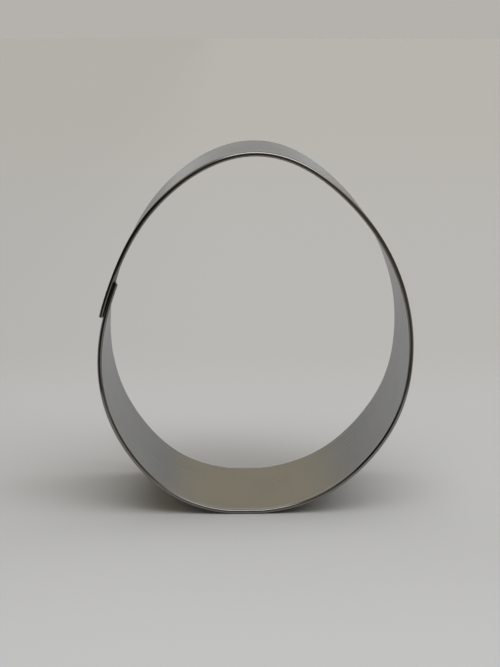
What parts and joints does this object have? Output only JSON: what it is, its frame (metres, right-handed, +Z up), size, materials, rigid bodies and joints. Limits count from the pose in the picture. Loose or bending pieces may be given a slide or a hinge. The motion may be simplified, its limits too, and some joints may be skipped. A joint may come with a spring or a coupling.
{
  "type": "cookie cutter",
  "caption": "Egg-shaped cookie cutter: a strip of thin sheet steel, hemmed along one edge and cut plain along the other, bent to an egg and spot welded where its ends lap.",
  "frame": {"origin": "on the surface that the cutter stands on, under the egg's middle and midway between the hemmed edge and the cutting edge", "axes": "+Z up from the broad end to the tip, +Y from the hemmed edge to the cutting edge, +X to the right seen from the hemmed side"},
  "size_m": [0.0626, 0.022, 0.0745],
  "materials": {
    "satin_steel": "satin cold-rolled sheet, faint grain along the strip",
    "weld_steel": "fused spot, duller than the sheet"
  },
  "bodies": {
    "root": {"hemmed_strip": "satin_steel", "spot_weld_1": "weld_steel", "spot_weld_2": "weld_steel"}
  },
  "joints": []
}
